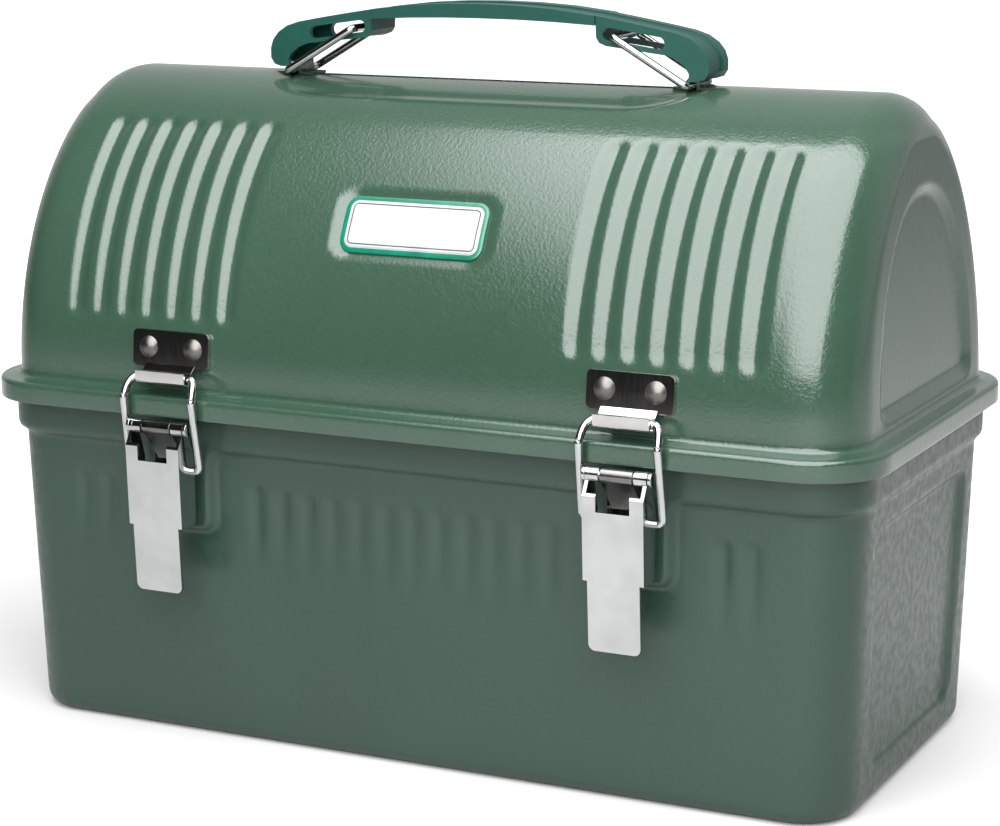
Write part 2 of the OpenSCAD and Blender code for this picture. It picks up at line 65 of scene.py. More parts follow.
class Mat:
    """A small node-material builder."""

    def __init__(self, name):
        self.m = bpy.data.materials.new(name)
        self.m.use_nodes = True
        self.t = self.m.node_tree
        self.t.nodes.clear()
        self.out = self.t.nodes.new("ShaderNodeOutputMaterial")
        self.b = self.t.nodes.new("ShaderNodeBsdfPrincipled")
        self.link(self.b.outputs[0], self.out.inputs[0])
        self.co = self.t.nodes.new("ShaderNodeTexCoord").outputs["Object"]

    def link(self, a, b):
        self.t.links.new(a, b)

    def set(self, **k):
        for n, v in k.items():
            self.b.inputs[n.replace("_", " ")].default_value = v

    def node(self, kind, **k):
        n = self.t.nodes.new(kind)
        for a, v in k.items():
            setattr(n, a, v)
        return n

    def scaled(self, s):
        n = self.node("ShaderNodeVectorMath", operation="MULTIPLY")
        self.link(self.co, n.inputs[0])
        n.inputs[1].default_value = s
        return n.outputs[0]

    def noise(self, scale, detail=2.0, rough=0.5, vec=None, dist=0.0):
        n = self.node("ShaderNodeTexNoise")
        self.link(vec or self.co, n.inputs["Vector"])
        n.inputs["Scale"].default_value = scale
        n.inputs["Detail"].default_value = detail
        n.inputs["Roughness"].default_value = rough
        n.inputs["Distortion"].default_value = dist
        return n.outputs["Fac"]

    def cells(self, scale, vec=None, feature="F1"):
        n = self.node("ShaderNodeTexVoronoi", feature=feature)
        self.link(vec or self.co, n.inputs["Vector"])
        n.inputs["Scale"].default_value = scale
        return n.outputs["Distance"]

    def range(self, v, a, b, c, d):
        n = self.node("ShaderNodeMapRange", clamp=True)
        self.link(v, n.inputs["Value"])
        for k, x in (("From Min", a), ("From Max", b), ("To Min", c), ("To Max", d)):
            n.inputs[k].default_value = x
        return n.outputs[0]

    def math(self, op, a, b):
        n = self.node("ShaderNodeMath", operation=op)
        for i, x in enumerate((a, b)):
            if isinstance(x, (int, float)):
                n.inputs[i].default_value = x
            else:
                self.link(x, n.inputs[i])
        return n.outputs[0]

    def mix(self, f, a, b, blend="MIX"):
        n = self.node("ShaderNodeMix", data_type="RGBA", blend_type=blend)
        if isinstance(f, (int, float)):
            n.inputs[0].default_value = f
        else:
            self.link(f, n.inputs[0])
        for i, x in ((6, a), (7, b)):
            if isinstance(x, tuple):
                n.inputs[i].default_value = (*x, 1.0)
            else:
                self.link(x, n.inputs[i])
        return n.outputs[2]

    def bump(self, h, strength, distance):
        n = self.node("ShaderNodeBump")
        n.inputs["Strength"].default_value = strength
        n.inputs["Distance"].default_value = distance
        self.link(h, n.inputs["Height"])
        self.link(n.outputs[0], self.b.inputs["Normal"])


def srgb(r, g, b):
    f = lambda c: c / 12.92 if c <= 0.04045 else ((c + 0.055) / 1.055) ** 2.4
    return tuple(f(c / 255) for c in (r, g, b))


def hammertone(name, deep, light, rough=0.15, coat=0.45, peel_depth=0.72):
    """Glossy hammer-finish enamel: mottled colour, fine flake and orange peel."""
    m = Mat(name)
    mottle = m.range(m.noise(900, 2, 0.5), 0.25, 0.75, 0, 1)
    flake = m.range(m.cells(2400), 0.15, 0.6, 0.97, 1.03)
    broad = m.range(m.noise(11, 3, 0.55), 0.3, 0.7, 0.93, 1.07)
    col = m.mix(mottle, deep, light)
    tone = m.math("MULTIPLY", flake, broad)
    grey = m.node("ShaderNodeCombineColor")
    for i in range(3):
        m.link(tone, grey.inputs[i])
    m.link(m.mix(1.0, col, grey.outputs[0], "MULTIPLY"), m.b.inputs["Base Color"])
    m.link(m.range(m.noise(300, 2, 0.5), 0.35, 0.65, rough * 0.85, rough * 1.25), m.b.inputs["Roughness"])
    peel = m.math("ADD", m.math("MULTIPLY", m.noise(820, 2, 0.45), 0.65), m.math("MULTIPLY", m.noise(1700, 2, 0.5), 0.35))
    m.bump(peel, peel_depth, 0.0002)
    m.set(IOR=1.5, Metallic=0.03, Coat_Weight=coat, Coat_Roughness=0.07)
    return m.m


def metal(name, colour, rough, brushed=(900, 60, 900), amount=0.05, metallic=1.0, dark=None):
    """Plated or plain steel: faint draw lines, cloudy roughness and a few handling marks."""
    m = Mat(name)
    lines = m.noise(1.0, 3, 0.6, m.scaled(brushed))
    cloud = m.noise(55, 3, 0.6)
    low = dark or tuple(c * 0.82 for c in colour)
    m.link(m.mix(m.range(cloud, 0.3, 0.7, 0, 1), low, colour), m.b.inputs["Base Color"])
    r = m.math("ADD", m.range(lines, 0.3, 0.7, rough * 0.8, rough * 1.25), m.range(cloud, 0.45, 0.75, 0, rough * 0.5))
    m.link(r, m.b.inputs["Roughness"])
    m.bump(lines, amount, 0.0001)
    m.set(Metallic=metallic)
    return m.m


def plastic(name, deep, light, rough=0.42):
    """Moulded plastic with a fine spark-eroded texture."""
    m = Mat(name)
    m.link(m.mix(m.range(m.noise(38, 3, 0.55), 0.3, 0.7, 0, 1), deep, light), m.b.inputs["Base Color"])
    m.link(m.range(m.noise(900, 2, 0.6), 0.3, 0.7, rough * 0.88, rough * 1.12), m.b.inputs["Roughness"])
    m.bump(m.noise(1800, 2, 0.6), 0.25, 0.00012)
    m.set(IOR=1.49)
    return m.m


def print_mat(name, deep, light, rough, coat=0.5):
    m = Mat(name)
    m.link(m.mix(m.range(m.noise(160, 3, 0.6), 0.3, 0.7, 0, 1), deep, light), m.b.inputs["Base Color"])
    m.link(m.range(m.noise(420, 2, 0.5), 0.3, 0.7, rough * 0.85, rough * 1.2), m.b.inputs["Roughness"])
    m.bump(m.noise(700, 2, 0.5), 0.08, 0.0001)
    m.set(IOR=1.5, Coat_Weight=coat, Coat_Roughness=0.05)
    return m.m


PAINT_LID = hammertone("paint_lid", (0.025, 0.055, 0.036), (0.030, 0.063, 0.042))
# The tub's paint is the lid's green made darker, which is painted shade in the colour, with a duller coat.
PAINT_BODY_SHADED = hammertone("paint_body", (0.0145, 0.037, 0.0245), (0.018, 0.043, 0.029), 0.36, 0.1, 0.14)
BRACKET = hammertone("bracket_paint", (0.014, 0.027, 0.021), (0.022, 0.039, 0.03), 0.3)
CHROME = metal("latch_steel", (0.55, 0.56, 0.56), 0.1, (80, 900, 900), 0.03)
WIRE = metal("wire_steel", (0.56, 0.56, 0.55), 0.12, (500, 500, 500), 0.03)
STRIKE = metal("strike_chrome", (0.60, 0.585, 0.57), 0.06, (900, 90, 90), 0.03)
KNUCKLE = metal("latch_base_steel", (0.20, 0.195, 0.19), 0.16, (900, 90, 90), 0.03)
RIVET = metal("rivet_steel", (0.16, 0.153, 0.143), 0.34, (600, 600, 600), 0.1)
ZINC = metal("zinc_steel", (0.52, 0.53, 0.54), 0.3, (120, 900, 900), 0.08)
GRIP = plastic("grip_plastic", (0.0005, 0.040, 0.030), (0.001, 0.050, 0.038))
PLATE_WHITE = print_mat("plate_print_white", (0.33, 0.34, 0.345), (0.38, 0.39, 0.39), 0.35, 0.2)
PLATE_GREEN = print_mat("plate_print_green", (0.0, 0.105, 0.06), (0.003, 0.15, 0.088), 0.22)
PLATE_LINE = print_mat("plate_print_line", (0.02, 0.03, 0.028), (0.04, 0.05, 0.045), 0.35)

# ------------------------------------------------------------------ mesh helpers


def add_mesh(name, verts, faces, mats, body, stands_for=(), index=None, smooth=True, sharp=None):
    me = bpy.data.meshes.new(name)
    me.from_pydata([tuple(v) for v in np.asarray(verts) * MM], [], [tuple(int(i) for i in f) for f in faces])
    for m in mats:
        me.materials.append(m)
    if index is not None:
        me.polygons.foreach_set("material_index", index)
    me.validate()
    if smooth:
        me.shade_smooth()
        if sharp:
            me.set_sharp_from_angle(angle=rad(sharp))
    o = bpy.data.objects.new(name, me)
    bpy.context.scene.collection.objects.link(o)
    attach(o, body)
    if stands_for:
        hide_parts(*stands_for)
    return o


def body_of(node):
    return nodes[node]["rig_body"]


def soften(node, mat, width=0.2, angle=32, segments=2, smooth=38, shape=None):
    """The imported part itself, cleaned up, with its sharp edges rounded."""
    src = nodes[node]
    me = src.data.copy()
    me.name = node + "_piece"
    bm = bmesh.new()
    bm.from_mesh(me)
    bmesh.ops.remove_doubles(bm, verts=bm.verts, dist=2e-6)
    bmesh.ops.dissolve_degenerate(bm, edges=bm.edges, dist=2e-6)
    bmesh.ops.dissolve_limit(bm, angle_limit=rad(0.6), verts=bm.verts, edges=bm.edges)
    bmesh.ops.recalc_face_normals(bm, faces=bm.faces)
    if shape:
        for vert in bm.verts:
            vert.co = Vector(shape(*(c / MM for c in vert.co))) * MM
    bm.to_mesh(me)
    bm.free()
    for a in list(me.attributes):
        if a.name in ("custom_normal", "sharp_face"):
            me.attributes.remove(a)
    me.materials.clear()
    me.materials.append(mat)
    me.shade_smooth()
    me.set_sharp_from_angle(angle=rad(smooth))
    o = bpy.data.objects.new(node + "_piece", me)
    bpy.context.scene.collection.objects.link(o)
    if width:
        b = o.modifiers.new("edges", "BEVEL")
        b.width = width * MM
        b.segments = segments
        b.limit_method = "ANGLE"
        b.angle_limit = rad(angle)
        b.use_clamp_overlap = True
        b.harden_normals = True
        b.miter_outer = "MITER_ARC"
    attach(o, body_of(node))
    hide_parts(node)
    return o


def fillet(points, radius, closed=False, steps=6):
    ps = [np.array(p, float) for p in points]
    n = len(ps)
    out = []
    for i, p in enumerate(ps):
        if not closed and i in (0, n - 1):
            out.append(p)
            continue
        a, b = ps[i - 1], ps[(i + 1) % n]
        u, v = (a - p) / np.linalg.norm(a - p), (b - p) / np.linalg.norm(b - p)
        half = math.acos(max(-1, min(1, float(u @ v)))) / 2
        d = min(radius / math.tan(half), 0.45 * np.linalg.norm(a - p), 0.45 * np.linalg.norm(b - p))
        for k in range(steps + 1):
            t = k / steps
            out.append((1 - t) ** 2 * (p + u * d) + 2 * t * (1 - t) * p + t * t * (p + v * d))
    return out


def spline(points, per=4):
    ps = [np.array(p, float) for p in points]
    ps = [2 * ps[0] - ps[1]] + ps + [2 * ps[-1] - ps[-2]]
    out = []
    for i in range(1, len(ps) - 2):
        a, b, c, d = ps[i - 1 : i + 3]
        for k in range(per):
            t = k / per
            out.append(0.5 * (2 * b + (c - a) * t + (2 * a - 5 * b + 4 * c - d) * t * t + (3 * b - a - 3 * c + d) * t ** 3))
    out.append(ps[-2])
    return out


def tube(points, r, closed=False, n=18, dome=0.35):
    """Verts and faces of round wire along points, with slightly domed ends."""
    ps = np.array(points, float)
    m = len(ps)
    if closed:
        tang = np.roll(ps, -1, 0) - np.roll(ps, 1, 0)
    else:
        tang = np.gradient(ps, axis=0)
    tang /= np.linalg.norm(tang, axis=1)[:, None]
    ref = np.cross(tang[0], [0.123, 0.456, 0.88])
    ref /= np.linalg.norm(ref)
    verts, rings = [], []
    for i in range(m):
        ref = ref - tang[i] * (ref @ tang[i])
        ref /= np.linalg.norm(ref)
        side = np.cross(tang[i], ref)
        rings.append([len(verts) + k for k in range(n)])
        for k in range(n):
            a = 2 * math.pi * k / n
            verts.append(ps[i] + r * (math.cos(a) * ref + math.sin(a) * side))
    faces = []
    last = m if closed else m - 1
    shift = 0
    if closed:
        first = np.array(verts[:n])
        end = np.array(verts[-n:])
        shift = int(np.argmin([np.sum((np.roll(first, -s, 0) - end) ** 2) for s in range(n)]))
    for i in range(last):
        a, b = rings[i], rings[(i + 1) % m]
        s = shift if i == m - 1 else 0
        for k in range(n):
            faces.append((a[k], b[(k + s) % n], b[(k + 1 + s) % n], a[(k + 1) % n])[::-1])
    if not closed:
        for ring, i, sgn in ((rings[0], 0, -1), (rings[-1], m - 1, 1)):
            prev = ring
            for q, h in ((0.8, 0.6), (0.45, 0.9)):
                new = []
                for k in ring:
                    verts.append(ps[i] + (verts[k] - ps[i]) * q + tang[i] * sgn * dome * h)
                    new.append(len(verts) - 1)
                for k in range(n):
                    f = (prev[k], prev[(k + 1) % n], new[(k + 1) % n], new[k])
                    faces.append(f if sgn > 0 else f[::-1])
                prev = new
            faces.append(tuple(prev) if sgn > 0 else tuple(prev[::-1]))
    return np.array(verts), faces


def smooth_step(x):
    x = np.clip(x, 0, 1)
    return x * x * (3 - 2 * x)


def smooth_min(a, b, k):
    h = np.clip(0.5 + 0.5 * (b - a) / k, 0, 1)
    return b * (1 - h) + a * h - k * h * (1 - h)


def box_distance(x, y, hx, hy, r):
    qx, qy = np.abs(x) - hx + r, np.abs(y) - hy + r
    return np.hypot(np.maximum(qx, 0), np.maximum(qy, 0)) + np.minimum(np.maximum(qx, qy), 0) - r


# A ring is one closed plan outline: right end, corner, back, corner, left end, corner, front, corner
class Columns:
    def __init__(self, xs, vs, nc):
        self.xs, self.vs, self.nc = np.array(xs, float), np.array(vs, float), nc
        nx, nv = len(xs), len(vs)
        self.n = 2 * nx + 2 * nv + 4 * nc - 4 + 0
        self.n = 2 * (nv + nc - 1 + nx - 1 + nc) + 2 * (1) - 2 + 2
        kinds = []
        kinds += ["end"] * nv + ["corner"] * (nc - 1) + ["back"] * nx + ["corner"] * (nc - 1)
        kinds += ["end"] * nv + ["corner"] * (nc - 1) + ["front"] * nx + ["corner"] * (nc - 1)
        self.kinds = np.array(kinds)
        self.n = len(kinds)

    def ring(self, a, b, rx, ry):
        ang = np.radians(90 * np.arange(1, self.nc) / self.nc)
        cx, cy = a - rx, b - ry
        k = np.clip(cx / (self.xs[-1] + 0.4), 0.0, 1.0)
        xs = self.xs * k
        X = [np.full(len(self.vs), a), cx + rx * np.cos(ang), xs[::-1], -cx - rx * np.sin(ang),
             np.full(len(self.vs), -a), -cx - rx * np.cos(ang), xs, cx + rx * np.sin(ang)]
        Y = [self.vs * cy, cy + ry * np.sin(ang), np.full(len(xs), b), cy + ry * np.cos(ang),
             -self.vs * cy, -cy - ry * np.sin(ang), np.full(len(xs), -b), -cy - ry * np.cos(ang)]
        return np.concatenate(X), np.concatenate(Y)


def grid_normals(P):
    """Outward unit normals of a (rows, columns, 3) closed grid, rows going up."""
    across = np.roll(P, -1, 1) - np.roll(P, 1, 1)
    up = np.gradient(P, axis=0)
    n = np.cross(across, up)
    l = np.linalg.norm(n, axis=2, keepdims=True)
    return n / np.maximum(l, 1e-9)


def skin_faces(rows, n, start=0, flip=False):
    f = []
    for r in range(rows - 1):
        a, b = start + r * n, start + (r + 1) * n
        for i in range(n):
            j = (i + 1) % n
            q = (a + i, a + j, b + j, b + i)
            f.append(q[::-1] if flip else q)
    return f


def thin_out(n_fine, start_f, start_c, flip=False):
    """Joins a ring of n_fine points to one of n_fine / 2 points."""
    f = []
    half = n_fine // 2
    for c in range(half):
        d = (c + 1) % half
        a0, a1, a2 = start_f + 2 * c, start_f + 2 * c + 1, start_f + (2 * c + 2) % n_fine
        for t in ((a0, a1, start_c + c), (a1, a2, start_c + d), (a1, start_c + d, start_c + c)):
            f.append(t[::-1] if flip else t)
    return f


# ------------------------------------------------------------------ lid
POWER = 2 / 1.95
SPRING, RISE, LID_B, TOP = 132.16, 102.29, 78.1, 234.4
END_R, RIM_R = 15.5, 21.0
PITCH = 10.35


def la(z):
    return 163.5 - 0.037 * (z - 125.6)


def dome_y(t):
    return LID_B * np.cos(t) ** POWER


def dome_z(t):
    return SPRING + RISE * np.sin(t) ** POWER


def dome_n(t):
    c, s = np.cos(t) / LID_B, np.sin(t) / RISE
    l = np.hypot(c, s)
    return c / l, s / l


_t = np.linspace(0, rad(89.6), 6000)
_s = np.concatenate([[0], np.cumsum(np.hypot(np.diff(dome_y(_t)), np.diff(dome_z(_t))))])


def dome_s(deg):
    return float(np.interp(rad(deg), _t, _s))


def s_of_z(z):
    return float(np.interp(z, dome_z(_t), _s))


def lid_columns():
    step = PITCH / 8
    pos = list(np.arange(66.9 - 7 * step, 66.9 + 62.1 + 7.2 * step, step))
    mid = list(np.linspace(0, pos[0], 25))[1:-1]
    xs = mid + pos + [139.0]
    xs = [-x for x in xs[::-1]] + [0.0] + xs
    if len(xs) % 2 == 0:
        xs = xs
    return Columns(xs, np.linspace(-1, 1, 57), 13)


def build_lid():
    C = lid_columns()
    N = C.n
    if N % 2:
        raise ValueError("odd ring")
    stop = float(np.interp(-1.6, -dome_y(_t), _s))
    count = int(round(stop / 1.55))
    s_rows = np.linspace(0, stop, count + 1)
    t_rows = np.interp(s_rows, _s, _t)
    P, S = [], []
    # flange and bead from the inside of the skirt upwards
    low = [(0.93, 125.0), (0.955, 124.7), (0.965, 124.0), (0.965, 122.4), (0.965, 120.3), (0.968, 119.65), (0.985, 119.4), (0.995, 119.65), (1.0, 120.2), (1.0, 122.2), (1.0, 124.0),
           (1.0, 125.2), (0.993, 125.61), (0.972, 126.0), (0.938, 126.33), (0.895, 126.59), (0.844, 126.75), (0.79, 126.8), (0.68, 126.85), (0.55, 126.9), (0.4, 127.0), (0.27, 127.15),
           (0.15, 127.4), (0.06, 127.9), (0.015, 128.6), (0.0, 129.6)]
    for f, z in low:
        a0, b0 = la(max(z, 128)), LID_B
        a, b, r = a0 + f * (170.0 - a0), b0 + f * (85.8 - b0), RIM_R + f * 6.0
        x, y = C.ring(a, b, r, r)
        P.append(np.stack([x, y, np.full(N, z)], 1))
        S.append(-5.0)
    for s, t in zip(s_rows, t_rows):
        z, b = float(dome_z(t)), float(dome_y(t))
        n_y, n_z = dome_n(t)
        r = RIM_R - (RIM_R - END_R) * math.degrees(t) / 90
        d = TOP - z
        e = END_R - math.sqrt(max(END_R ** 2 - (END_R - d) ** 2, 0)) if d < END_R else 0.0
        a = la(z) - e
        rx = max(r * (1 - e / END_R), 0.5)
        ry = min(b - min(0.4, 0.25 * b), r / max(n_y, 0.1))
        x, y = C.ring(a, b, rx, ry)
        P.append(np.stack([x, y, np.full(N, z)], 1))
        S.append(s)
    P = np.array(P)
    S = np.array(S)[:, None]
    nrm = grid_normals(P)
    X, Y, Z = P[:, :, 0], P[:, :, 1], P[:, :, 2]
    side = (C.kinds == "front") | (C.kinds == "back")
    front = C.kinds == "front"
    end = C.kinds == "end"
    depth = np.zeros(X.shape)
    # two groups of seven flutes, front and back
    s0, s1 = dome_s(11) + 4.6, dome_s(59) - 4.6
    along = np.maximum(np.maximum(s0 - S, S - s1), 0)
    for sx in (-1, 1):
        for k in range(7):
            q = np.hypot(X - sx * (66.9 + PITCH * k), along) / 4.85
            depth += np.where(q < 1, 0.5 * (1 + np.cos(math.pi * np.minimum(q, 1))), 0) * 1.35 * side[None, :]
    # recess under the name plate
    sz = (s_of_z(178.4) + s_of_z(199.9)) / 2
    dist = box_distance(X - 0.9, S - sz + 0 * X, 29.2, 12.6, 6.4)
    depth += 1.3 * smooth_step((0.4 - dist) / 2.0) * (front[None, :] & (S > 0))
    # pressed oval round the handle
    dist = np.hypot(np.maximum(np.abs(X) - 60.5, 0), Y) - 25.6
    drop = 1.15 * smooth_step((1.6 - dist) / 6.0) * (Z > 215)
    # arched panel in each end
    y50, zz = np.abs(Y) / 50.0, (Z - 131.3) / 73.5
    g = y50 ** 2.15 + np.maximum(zz, 0) ** 2.0
    gy = 2.15 * y50 ** 1.15 / 50.0
    gz = 2.0 * np.maximum(zz, 0) / 73.5
    arch = (g - 1) / np.maximum(np.hypot(gy, gz), 0.012)
    dist = -smooth_min(-arch, Z - 131.6, 7.0)
    depth += 2.1 * smooth_step((0.2 - dist) / 4.2) * (end[None, :] & (S > 0)) * (Z < 212)
    P = P - nrm * depth[:, :, None]
    P[:, :, 2] -= drop
    nrm = grid_normals(P)
    R = len(P)
    verts = [P.reshape(-1, 3)]
    faces = skin_faces(R, N)
    # top seam between the last front and back points
    top = (R - 1) * N
    kinds = list(C.kinds)
    f0, b0, nx = kinds.index("front"), kinds.index("back"), len(C.xs)
    for i in range(nx - 1):
        faces.append((top + f0 + i, top + f0 + i + 1, top + b0 + nx - 2 - i, top + b0 + nx - 1 - i))
    right = [top + i for i in range(f0 + nx - 1, N)] + [top + i for i in range(0, b0 + 1)]
    left = [top + i for i in range(b0 + nx - 1, f0 + 1)]
    faces.append(tuple(right))
    faces.append(tuple(left))
    # inner face, half as many columns and about half the rows
    base = R * N
    rows = [0, 16, 18, 20, 22] + [r for r in range(len(low) - 1, R - 1, 2)] + [R - 1]
    cols = np.arange(0, N, 2)
    inner = []
    for r in rows:
        if r == 0:
            q = P[0, cols].copy()
            q[:, 2] += 0.4
        else:
            q = P[r, cols] - nrm[r, cols] * 0.8
        if r == R - 1:
            q = P[r, cols].copy()
            q[:, 2] -= 0.8
        inner.append(q)
    inner = np.array(inner)
    M = len(cols)
    # keep the inner points from crossing the middle near the crown
    inner[-1][:, 1] *= 0.5
    verts.append(inner.reshape(-1, 3))
    faces += thin_out(N, 0, base, flip=True)
    faces += skin_faces(len(rows), M, base, flip=True)
    faces.append(tuple(base + (len(rows) - 1) * M + i for i in range(M))[::-1])
    return np.concatenate(verts), faces


v, f = build_lid()
add_mesh("lid_pressing", v, f, [PAINT_LID], "lid", ("lid_shell",))

# ------------------------------------------------------------------ tub


def ta(z):
    return 163.6 - 3.9 * (1 - z / 120)


def tb(z):
    return 75.5 - 2.2 * (1 - z / 120)


def tub_columns():
    step = PITCH / 8
    inner = list(np.arange(step / 2, 63.5, step))
    ramp = list(np.linspace(70.4, 77.4, 8)) + [82.0, 88.0, 94.0] + list(np.linspace(98.4, 105.4, 8))
    outer = list(np.arange(119.0 - 6.5 * step, 129.4 + 6 * step, step))
    xs = inner + ramp + outer + [139.0]
    xs = [-x for x in xs[::-1]] + xs
    return Columns(xs, np.linspace(-1, 1, 53), 12)


def build_tub():
    C = tub_columns()
    N = C.n
    if N % 2:
        raise ValueError("odd ring")
    P = []
    z_rows = []
    for phi in np.linspace(0, 90, 9)[:-1]:
        z_rows.append(("fillet", phi))
    zs = list(np.arange(5.5, 20, 1.6)) + list(np.arange(20.5, 58, 3.4)) + list(np.arange(59, 112.3, 1.25)) + [114.0, 116.5, 118.4]
    z_rows += [("wall", z) for z in zs]
    rim = [(165.3, 78.3, 21, 119.1), (165.1, 78.1, 20.8, 119.5), (164.6, 77.7, 20.4, 119.72), (163.2, 77.0, 19.6, 119.75), (162.1, 76.5, 18.8, 119.9), (161.75, 76.3, 18.5, 120.5),
           (161.7, 76.3, 18.5, 122.2), (161.65, 76.25, 18.45, 123.5), (161.3, 75.9, 18.1, 123.8), (160.95, 75.55, 17.75, 123.5), (160.9, 75.5, 17.7, 122.0), (160.9, 75.5, 17.7, 119.0)]
    side_cols = (C.kinds == "front") | (C.kinds == "back")
    end = C.kinds == "end"
    for kind, z in z_rows:
        if kind == "fillet":
            o = 5.5 * (1 - math.sin(rad(z)))
            zz = 5.5 * (1 - math.cos(rad(z)))
            a, b, r = ta(zz) - o, tb(zz) - o, 20 - o
            x, y = C.ring(a, b, r, r)
            P.append(np.stack([x, y, np.full(N, zz)], 1))
            continue
        x0, y0 = C.ring(ta(z), tb(z), 20, 20)
        # collar all round, running down over the latch and hinge pads
        collar = 106.9 - z
        pad = box_distance(np.abs(x0) - 87.9, z - 107.5, 13.9, 30.0, 5.0)
        dist = np.where(side_cols, smooth_min(np.full(N, collar), pad, 6.0), collar)
        fr = smooth_step((1.7 - dist) / 3.4)
        x1, y1 = C.ring(165.2 + 0.1 * smooth_step((z - 108) / 11), 78.26, 20.7, 20.7)
        x = x0 + (x1 - x0) * fr
        y = y0 + (y1 - y0) * fr
        x = np.where(side_cols, x0, x)
        # shallow flutes in the long sides
        depth = np.zeros(N)
        fade = float(smooth_step((z - 56) / 34.0))
        along = max(z - 92.6, 0)
        for sx in (-1, 1):
            for c in [5.175 + PITCH * k for k in range(6)] + [119.0, 129.4]:
                q = np.hypot(x0 - sx * c, along) / 4.75
                depth += np.where(q < 1, 0.5 * (1 + np.cos(math.pi * np.minimum(q, 1))), 0) * 1.4 * fade * side_cols
        y = np.where(C.kinds == "front", y + depth, np.where(C.kinds == "back", y - depth, y))
        # pressed panel in each end
        half = 45.0 + 5.0 * (z - 12) / 86
        d = box_distance(y0, np.full(N, z - 55.0), half, 43.0, 9.0)
        push = 2.0 * smooth_step((0.3 - d) / 3.4) * end
        x = x - np.sign(x) * push
        P.append(np.stack([x, y, np.full(N, z)], 1))
    n_wall = len(P)
    for a, b, r, z in rim:
        x, y = C.ring(a, b, r, r)
        P.append(np.stack([x, y, np.full(N, z)], 1))
    P = np.array(P)
    nrm = grid_normals(P)
    R = len(P)
    verts = [P.reshape(-1, 3)]
    faces = skin_faces(R, N)
    # underside: a flat rim to stand on and a shallow raised panel
    base = R * N
    under = []
    for o, z in ((9.0, 0.0), (13.0, 0.0), (14.5, 0.25), (16.5, 0.8), (18.0, 1.0)):
        rr = max(20 - o, 3.0)
        x, y = C.ring(ta(0) - o, tb(0) - o, rr, rr)
        under.append(np.stack([x, y, np.full(N, z)], 1))
    under = np.array(under)
    verts.append(under.reshape(-1, 3))
    for i in range(N):
        j = (i + 1) % N
        faces.append((base + i, base + j, j, i))
    faces += skin_faces(len(under), N, base, flip=True)
    faces.append(tuple(base + (len(under) - 1) * N + i for i in range(N))[::-1])
    # inner face
    start = base + len(under) * N
    cols = np.arange(0, N, 2)
    M = len(cols)
    rows = list(range(n_wall - 2, 8, -2))
    inner = []
    for k, r in enumerate(rows):
        inner.append(P[r, cols] - nrm[r, cols] * 0.8)
    for o, z in ((1.0, 4.0), (2.4, 2.4), (4.6, 1.3), (7.0, 0.8), (13.0, 0.8), (14.5, 1.05), (16.5, 1.6), (18.0, 1.8)):
        rr = max(20 - o, 3.0)
        x, y = C.ring(ta(0) - o, tb(0) - o, rr, rr)
        inner.append(np.stack([x, y, np.full(N, z)], 1)[cols])
    inner = np.array(inner)
    verts.append(inner.reshape(-1, 3))
    faces += thin_out(N, (R - 1) * N, start)
    faces += skin_faces(len(inner), M, start)
    faces.append(tuple(start + (len(inner) - 1) * M + i for i in range(M)))
    return np.concatenate(verts), faces


v, f = build_tub()
add_mesh("tub_pressing", v, f, [PAINT_BODY_SHADED], "base", ("tub",))

# ------------------------------------------------------------------ name plate


def on_dome(x, s, lift):
    """A point lifted off the front of the dome, at arc length s from the springing."""
    t = np.interp(s, _s, _t)
    n_y, n_z = dome_n(t)
    return [x, -(float(dome_y(t)) + lift * n_y), float(dome_z(t)) + lift * n_z]


def build_plate():
    sz = (s_of_z(178.4) + s_of_z(199.9)) / 2
    cx, hx, hy, r = 0.9, 27.3, 10.5, 4.8
    spec = [(0.25, -0.75, 0), (0.0, -0.6, 0), (0.0, -0.25, 0), (0.2, 0.0, 0), (0.6, 0.08, 0), (1.2, 0.1, 0), (1.85, 0.08, 0), (2.1, 0.1, 1), (2.2, 0.26, 1), (2.4, 0.34, 1), (2.95, 0.36, 1), (3.05, 0.34, 2),
            (3.4, 0.34, 2), (3.5, 0.36, 1), (4.2, 0.38, 1), (5.2, 0.4, 1), (6.4, 0.42, 1), (7.6, 0.43, 1), (8.8, 0.44, 1), (9.8, 0.44, 1), (10.3, 0.44, 1)]
    n_c, n_x, n_y = 8, 14, 5
    verts, index, faces = [], [], []
    n = None
    for inset, lift, _ in spec:
        a, b, rr = hx - inset, hy - inset, max(r - inset, 0.15)
        pts = []
        ang = [90 * k / n_c for k in range(n_c + 1)]
        for qx, qy, a0 in ((1, 1, 0), (-1, 1, 90), (-1, -1, 180), (1, -1, 270)):
            for k in ang:
                u = rad(a0 + k)
                pts.append((qx * (a - rr) + rr * math.cos(u), qy * (b - rr) + rr * math.sin(u)))
            nx_, ny_ = {90: (n_y, 0), 0: (n_x, 0), 180: (n_y, 0), 270: (n_x, 0)}[a0]
            # straight run to the next corner
            if a0 == 0:
                for k in range(1, n_x):
                    pts.append(((a - rr) * (1 - 2 * k / n_x), b))
            elif a0 == 90:
                for k in range(1, n_y):
                    pts.append((-a, (b - rr) * (1 - 2 * k / n_y)))
            elif a0 == 180:
                for k in range(1, n_x):
                    pts.append(((a - rr) * (-1 + 2 * k / n_x), -b))
            else:
                for k in range(1, n_y):
                    pts.append((a, (b - rr) * (-1 + 2 * k / n_y)))
        n = len(pts)
        for px, py in pts:
            verts.append(on_dome(cx + px, sz + py, lift - 0.55))
    for k in range(len(spec) - 1):
        for i in range(n):
            j = (i + 1) % n
            faces.append((k * n + i, k * n + j, (k + 1) * n + j, (k + 1) * n + i))
            index.append(spec[k + 1][2])
    faces.append(tuple((len(spec) - 1) * n + i for i in range(n)))
    index.append(1)
    faces.append(tuple(range(n))[::-1])
    index.append(0)
    return np.array(verts), faces, index


